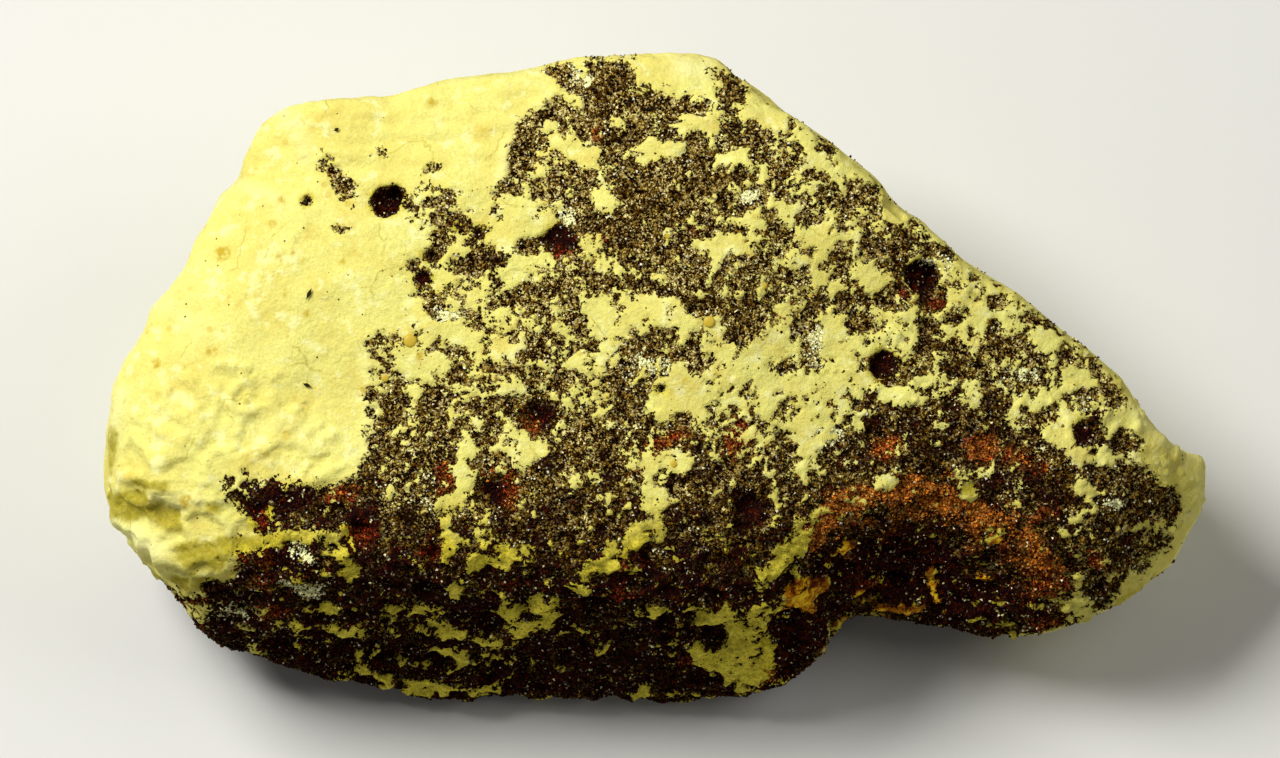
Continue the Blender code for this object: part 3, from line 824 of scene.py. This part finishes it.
def grain_tints(fields, places, nearest, rng):
    """A colour for each grain, by what the crust is made of where it lies."""
    count = len(nearest)
    drawn = clouds(places, 0.45, 2, 70.0) + 0.7 * rng.normal(size=count)
    draw = np.argsort(np.argsort(drawn)) / count
    dark = fields["dark"][nearest]
    tints = drawn_tints(draw * (1.0 - DARKENING * dark), CRUST_TINTS)
    purple = rng.random(count) < 3.0 * dark - 2.0
    tints[purple] = drawn_tints(draw, PURPLE_TINTS)[purple]
    strewn = ramp(clouds(places, 2.0, 2, 81.0), -0.3, 1.5)
    tints[rng.random(count) < CREAM_SHARE * strewn * dark * (1.08 - dark)] = CRUST_CREAM
    lot = rng.random(count)
    red = rng.random(count) < fields["redness"][nearest]
    rusty = rng.random(count) < RUST_SHARE * fields["rust"][nearest]
    tints[rusty & ~red] = drawn_tints(lot, ORANGE_TINTS)[rusty & ~red]
    tints[rusty & red] = drawn_tints(lot, RED_TINTS)[rusty & red]
    tints[rng.random(count) < PALE_SHARE * fields["pale"][nearest]] = PALE_GREEN
    # Painted glints: a few grains in white.
    tints[rng.random(count) < GLINT_SHARE - GLINT_LOSS * dark] = GLINT_WHITE
    tints[:, :3] *= rng.uniform(0.6, 1.4, size=(count, 1))
    return np.clip(tints, 0.0, 1.0)


def sown_grains(lump, fields, total, rng):
    """Places, outward directions and nearest vertices of the grains: clumped, and mostly on crust."""
    spots, normals = vertex_arrays(lump.data)
    raised = moved(spots, FACE_TO_WORLD)[:, 2] > 0.5 * MM
    thickness = ramp(fields["crust"], -0.35, 0.20) + 0.045 * ramp(fields["crust"], -0.9, -0.3)
    seen = 0.25 + 0.75 * ramp(normals[:, 2], -0.1, 0.15)
    sown = scatter(lump.data, thickness * seen * raised, 2 * total, rng)
    clumped = clouds(sown[0], 0.5, 3, 60.0, 0.5) + 3.0 * fields["crust"][sown[2]]
    clear = moved(sown[0], FACE_TO_WORLD)[:, 2] > 0.3 * MM
    stray = rng.random(len(clumped)) < STRAY_SHARE
    kept = np.flatnonzero(((clumped > -0.4) | stray) & clear)
    kept = rng.permutation(kept)[:total]
    return [values[kept] for values in sown]


def build_grains(lump, fields):
    """The crust's grains: the coarse ones in one piece and the fine ones in several."""
    rng = np.random.default_rng(SEED)
    kinds = (
        ("coarse", octahedron(), COARSE_GRAINS, COARSE_RADII, 1),
        ("fine", tetrahedron(), FINE_GRAINS, FINE_RADII, FINE_PIECES),
    )
    material = tinted_material("crust_grains", 0.7, 0.01)
    pieces = []
    for kind, base, total, radius_range, share in kinds:
        points, outward, nearest = sown_grains(lump, fields, total, rng)
        count = len(points)
        radii = rng.uniform(*radius_range, size=count)
        sizes = radii[:, None] * rng.uniform(0.7, 1.3, size=(count, 3))
        places = points + outward * (radii * rng.uniform(-0.2, 0.6, size=count))[:, None]
        turns = random_turns(count, rng)
        tints = grain_tints(fields, places, nearest, rng)
        for number, part in enumerate(np.array_split(np.arange(count), share), start=1):
            name = f"{kind}_grains_{number}"
            piece = joined_mesh(name, base, places[part], turns[part], sizes[part], tints[part])
            piece.data.materials.append(material)
            pieces.append(piece)
    return pieces


def build_few(name, base, rows, colour, roughness):
    """One piece of a few copies of a solid in one colour, from rows of place, turn and size."""
    places, turns, sizes = (np.array(values) for values in zip(*rows))
    tints = np.tile(colour, (len(rows), 1))
    piece = joined_mesh(name, base, places, turns, sizes, tints)
    piece.data.materials.append(tinted_material(name, roughness, 0.2))
    return piece


def build_beads(under):
    """Smooth golden beads, sunk most of the way into the sulfur."""
    shape = np.array([1.0, 1.0, BEAD_FLATNESS])
    rows = [(under(px, py), np.eye(3), radius * PIXEL * shape) for px, py, radius in BEADS]
    piece = build_few("amber_beads", ball(), rows, STAIN_GOLD, 0.35)
    piece.data.shade_smooth()
    return piece


def build_splinters(under):
    """Black splinters, flat on the sulfur."""
    rows = []
    for px, py, length, tilt in SPLINTERS:
        turn = np.array(Matrix.Rotation(math.radians(tilt), 3, "Z"))
        size = (0.6 * length * PIXEL, *SPLINTER_THICKNESS)
        rows.append((under(px, py) + (0.0, 0.0, SPLINTER_LIFT), turn, size))
    return build_few("splinters", octahedron(), rows, CRUST_BLACK, 0.6)


# ---- Materials ----


def new_material(name):
    """A material with its node tree and its shader node."""
    material = bpy.data.materials.new(name)
    material.use_nodes = True
    tree = material.node_tree
    return material, tree, tree.nodes["Principled BSDF"]


def fill(tree, made, inputs):
    """Set a node's inputs to values, or link them to sockets."""
    for name, value in inputs.items():
        if isinstance(value, bpy.types.NodeSocket):
            tree.links.new(value, made.inputs[name])
        else:
            made.inputs[name].default_value = value


def node(tree, kind, inputs=None, **settings):
    """A new node with the given settings and inputs."""
    made = tree.nodes.new(kind)
    for name, value in settings.items():
        setattr(made, name, value)
    fill(tree, made, inputs or {})
    return made


def field(tree, name):
    """A field of the lump's surface, as a socket."""
    return node(tree, "ShaderNodeAttribute", attribute_name=name).outputs["Fac"]


def object_place(tree):
    """The place on the object, as a socket."""
    return node(tree, "ShaderNodeTexCoord").outputs["Object"]


def texture_noise(tree, wavelength, detail=3.0, roughness=0.55):
    """Noise in object space, with its lumps a wavelength in millimetres apart."""
    inputs = {"Scale": 1.0 / (wavelength * MM), "Detail": detail, "Roughness": roughness}
    made = node(tree, "ShaderNodeTexNoise", {"Vector": object_place(tree), **inputs})
    return made.outputs["Fac"]


def combine(tree, operation, *values):
    """A Math node on sockets or numbers."""
    return node(tree, "ShaderNodeMath", dict(enumerate(values)), operation=operation).outputs[0]


def between(tree, value, low, high):
    """0 below low and 1 above high, as a socket, or the other way round where low is the greater."""
    inputs = {"Value": value, "From Min": low, "From Max": high}
    made = node(tree, "ShaderNodeMapRange", inputs, interpolation_type="SMOOTHSTEP")
    return made.outputs["Result"]


def patches(tree, low, high, wavelength, detail=3.0, roughness=0.55):
    """1 in cloudy patches and 0 between them, where the noise rises from low to high."""
    return between(tree, texture_noise(tree, wavelength, detail, roughness), low, high)


def mixed(tree, factor, first, second):
    """A colour between two colours or sockets."""
    inputs = {0: factor, 6: first, 7: second}
    return node(tree, "ShaderNodeMix", inputs, data_type="RGBA").outputs[2]


def tinted(tree, colour, tint, where, strength):
    """A colour with another laid over it where a socket says, as strongly as the last value says."""
    return mixed(tree, combine(tree, "MULTIPLY", where, strength), colour, tint)


def colour_ramp(tree, value, stops):
    """A colour for a value, from pairs of a position and a colour."""
    made = node(tree, "ShaderNodeValToRGB", {"Fac": value})
    ramp_stops = made.color_ramp.elements
    for index, (position, colour) in enumerate(stops):
        stop = ramp_stops[index] if index < 2 else ramp_stops.new(position)
        stop.position = position
        stop.color = colour
    return made.outputs["Color"]


def dots(tree, spacing, radius, share):
    """1 inside round dots strewn at random, as a socket."""
    inputs = {"Vector": object_place(tree), "Scale": 1.0 / (spacing * MM)}
    grid = node(tree, "ShaderNodeTexVoronoi", inputs)
    lot = node(tree, "ShaderNodeSeparateColor", {"Color": grid.outputs["Color"]})
    drawn = combine(tree, "LESS_THAN", lot.outputs["Red"], share)
    inside = between(tree, grid.outputs["Distance"], 1.1 * radius / spacing, 0.8 * radius / spacing)
    return combine(tree, "MULTIPLY", drawn, inside)


def hairlines(tree, spacing, width):
    """1 along broken, wandering fracture lines, as a socket."""
    place = object_place(tree)
    scale = 1.0 / (spacing * MM)
    warp = node(tree, "ShaderNodeTexNoise", {"Vector": place, "Scale": 2.0 * scale, "Detail": 5.0})
    inputs = {0: warp.outputs["Color"], 1: (0.5 / scale,) * 3, 2: place}
    bent = node(tree, "ShaderNodeVectorMath", inputs, operation="MULTIPLY_ADD")
    inputs = {"Vector": bent.outputs["Vector"], "Scale": scale}
    grid = node(tree, "ShaderNodeTexVoronoi", inputs, feature="DISTANCE_TO_EDGE")
    lines = between(tree, grid.outputs["Distance"], width / spacing, 0.0)
    return combine(tree, "MULTIPLY", lines, patches(tree, 0.50, 0.60, 0.6 * spacing, 4.0))


def bare_colour(tree):
    """Waxy yellow with warmer clouds, milky patches, a painted highlight on the folds' crests, smudges and
    hairline fractures.
    """
    colour = SULFUR_LIGHT
    for tint, strength, *patch in SULFUR_LAYERS:
        colour = tinted(tree, colour, tint, patches(tree, *patch), strength)
    milky_and_highlight = combine(tree, "MULTIPLY", patches(tree, *MILKY_PATCHES), 0.7)
    # The folds' crests take the same pale colour as the milky patches, as a painted highlight.
    milky_and_highlight = combine(tree, "MAXIMUM", milky_and_highlight, field(tree, "painted_highlight"))
    colour = mixed(tree, milky_and_highlight, colour, SULFUR_WHITE)
    return tinted(tree, colour, SULFUR_OLIVE, hairlines(tree, 7.0, 0.11), 0.5)


def amber_colour(tree):
    """Amber sulfur with lighter and darker clouds, and deeper at its rim."""
    colour = colour_ramp(tree, texture_noise(tree, 1.3, 6.0, 0.75), AMBER_STOPS)
    inside = between(tree, field(tree, "amber"), 0.35, 0.75)
    return mixed(tree, inside, AMBER_DEEP, colour)


def sulfur_colour(tree):
    """Bare sulfur with its bubbles, specks and stains, and painted shade in olive and deep yellow: in its
    hollows, where it turns from the key light, low on the face and in the dark pockets.
    """
    strewn = patches(tree, 0.42, 0.55, 5.0, 2.0)
    bubbles = combine(tree, "MULTIPLY", dots(tree, 1.6, 0.30, 0.3), strewn)
    colour = tinted(tree, bare_colour(tree), SULFUR_OCHRE, bubbles, 0.55)
    fringe = between(tree, field(tree, "crust"), -0.95, -0.05)
    colour = tinted(tree, colour, SULFUR_DULL, fringe, 0.40)
    veiled = combine(tree, "MULTIPLY_ADD", texture_noise(tree, 0.4, 4.0, 0.7), 1.1, 0.35)
    # Painted shade: olive in the hollows and where the sulfur turns from the key light.
    colour = tinted(tree, colour, SULFUR_OLIVE, field(tree, "olive_painted_shade"), veiled)
    colour = tinted(tree, colour, STAIN_GOLD, field(tree, "gold"), patches(tree, 0.30, 0.60, 0.5))
    colour = tinted(tree, colour, CRUST_BROWN, dots(tree, 0.9, 0.09, 0.4), strewn)
    # Painted shade: low on the face and in the dark pockets, the sulfur is mottled olive and deep yellow.
    mottled = patches(tree, 0.38, 0.62, 0.35, 4.0, 0.75)
    shaded = mixed(tree, mottled, SULFUR_OLIVE, SULFUR_SHADE_DEEP)
    colour = mixed(tree, field(tree, "shade"), colour, shaded)
    stained = between(tree, field(tree, "amber"), 0.05, 0.30)
    return mixed(tree, stained, colour, amber_colour(tree))


def crust_colour(tree):
    """Black and brown grit with tan sulfur between its grains, rusty and pale in places."""
    grit = texture_noise(tree, 0.20, 2.0, 0.6)
    kinds = GRIT_UPPER, GRIT_DARK, GRIT_ORANGE, GRIT_RED
    upper, dark, orange, red = (colour_ramp(tree, grit, stops) for stops in kinds)
    colour = mixed(tree, field(tree, "dark"), upper, dark)
    rust = mixed(tree, field(tree, "redness"), orange, red)
    colour = tinted(tree, colour, rust, field(tree, "rust"), 0.9)
    fluff = combine(tree, "MULTIPLY_ADD", texture_noise(tree, 0.6, 3.0), 2.4, -1.2)
    pale = between(tree, combine(tree, "ADD", field(tree, "pale"), fluff), 0.70, 0.80)
    return mixed(tree, pale, colour, PALE_GREEN)


def lump_material():
    """Sulfur and crust, parted along a ragged edge."""
    material, tree, shader = new_material("sulfur")
    broken = combine(tree, "MULTIPLY_ADD", texture_noise(tree, 0.35, 3.0), 3.2, -1.6)
    crust = combine(tree, "ADD", field(tree, "crust"), broken)
    covered = between(tree, crust, -0.05, 0.05)
    rough = node(tree, "ShaderNodeMapRange", {"Value": covered, "To Min": 0.50, "To Max": 0.80})
    sunk = combine(tree, "MULTIPLY", covered, -1.2)
    grainy = combine(tree, "MULTIPLY_ADD", texture_noise(tree, 0.6, 5.0, 0.7), 0.55, sunk)
    bump = node(tree, "ShaderNodeBump", {"Height": grainy, "Distance": 0.40 * MM, "Strength": 0.9})
    looks = {
        "Base Color": mixed(tree, covered, sulfur_colour(tree), crust_colour(tree)),
        "Roughness": rough.outputs["Result"],
        "Normal": bump.outputs["Normal"],
        "Specular IOR Level": 0.01,
        "Subsurface Weight": 0.12,
        "Subsurface Radius": (1.0, 0.9, 0.3),
        "Subsurface Scale": 0.6 * MM,
    }
    fill(tree, shader, looks)
    return material


def tinted_material(name, roughness, gloss):
    """A material for many small solids, each in its own tint."""
    material, tree, shader = new_material(name)
    tint = node(tree, "ShaderNodeAttribute", attribute_name="tint").outputs["Color"]
    fill(tree, shader, {"Base Color": tint, "Roughness": roughness, "Specular IOR Level": gloss})
    return material


# ---- Stage ----


def build_floor():
    """A plain pale floor."""
    mesh = bpy.data.meshes.new("floor")
    shape = bmesh.new()
    bmesh.ops.create_grid(shape, x_segments=1, y_segments=1, size=1.5)
    shape.to_mesh(mesh)
    shape.free()
    floor = linked_object("floor", mesh)
    material, tree, shader = new_material("floor")
    fill(tree, shader, {"Base Color": (0.72, 0.72, 0.70, 1.0), "Roughness": 0.9})
    mesh.materials.append(material)


def area_light(name, towards, distance, size, power, colour):
    """A soft square light that shines on the face from a direction in face coordinates."""
    lamp = bpy.data.lights.new(name, "AREA")
    lamp.shape = "SQUARE"
    lamp.size = size
    lamp.energy = power
    lamp.color = colour
    light = linked_object(name, lamp)
    direction = np.array(towards) / np.linalg.norm(towards)
    light.location = moved((direction * distance / MM)[None, :], FACE_TO_WORLD)[0]
    aim = light.location - FACE_TO_WORLD.translation
    light.rotation_euler = aim.to_track_quat("Z", "Y").to_euler()


def light_scene():
    """A soft key from the upper left, a weaker fill and a pale sky."""
    world = bpy.data.worlds.new("studio")
    world.use_nodes = True
    background = world.node_tree.nodes["Background"]
    fill(world.node_tree, background, {"Color": (1.0, 1.0, 1.0, 1.0), "Strength": 0.10})
    bpy.context.scene.world = world
    area_light("key", KEY_SIDE, 0.6, 0.24, 4.3, (1.0, 0.99, 0.95))
    area_light("fill", (0.65, 0.30, 0.80), 0.8, 0.4, 1.3, (1.0, 0.98, 0.92))
    bpy.context.scene.view_settings.view_transform = "Standard"


def place_camera():
    """Look straight onto the face, through a long lens, with the photograph's framing."""
    optics = bpy.data.cameras.new("camera")
    optics.lens = LENS
    optics.sensor_width = SENSOR
    optics.clip_end = 10.0
    camera = linked_object("camera", optics)
    distance = FRAME_WIDTH * PIXEL * LENS / SENSOR + OUTLINE_DEPTH
    u, v = on_face(FRAME_WIDTH / 2, FRAME_HEIGHT / 2)
    place = moved(np.array([[u, v, distance]]), FACE_TO_WORLD)[0]
    camera.matrix_world = Matrix.Translation(place) @ FACE_TURN
    bpy.context.scene.camera = camera


place_camera()
light_scene()
build_floor()
sulfur, surface = build_lump()
find_surface = surface_finder(sulfur)
pieces = [sulfur, *build_grains(sulfur, surface), build_beads(find_surface), build_splinters(find_surface)]
for piece in pieces:
    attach(piece, "root")
    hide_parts(NODE)
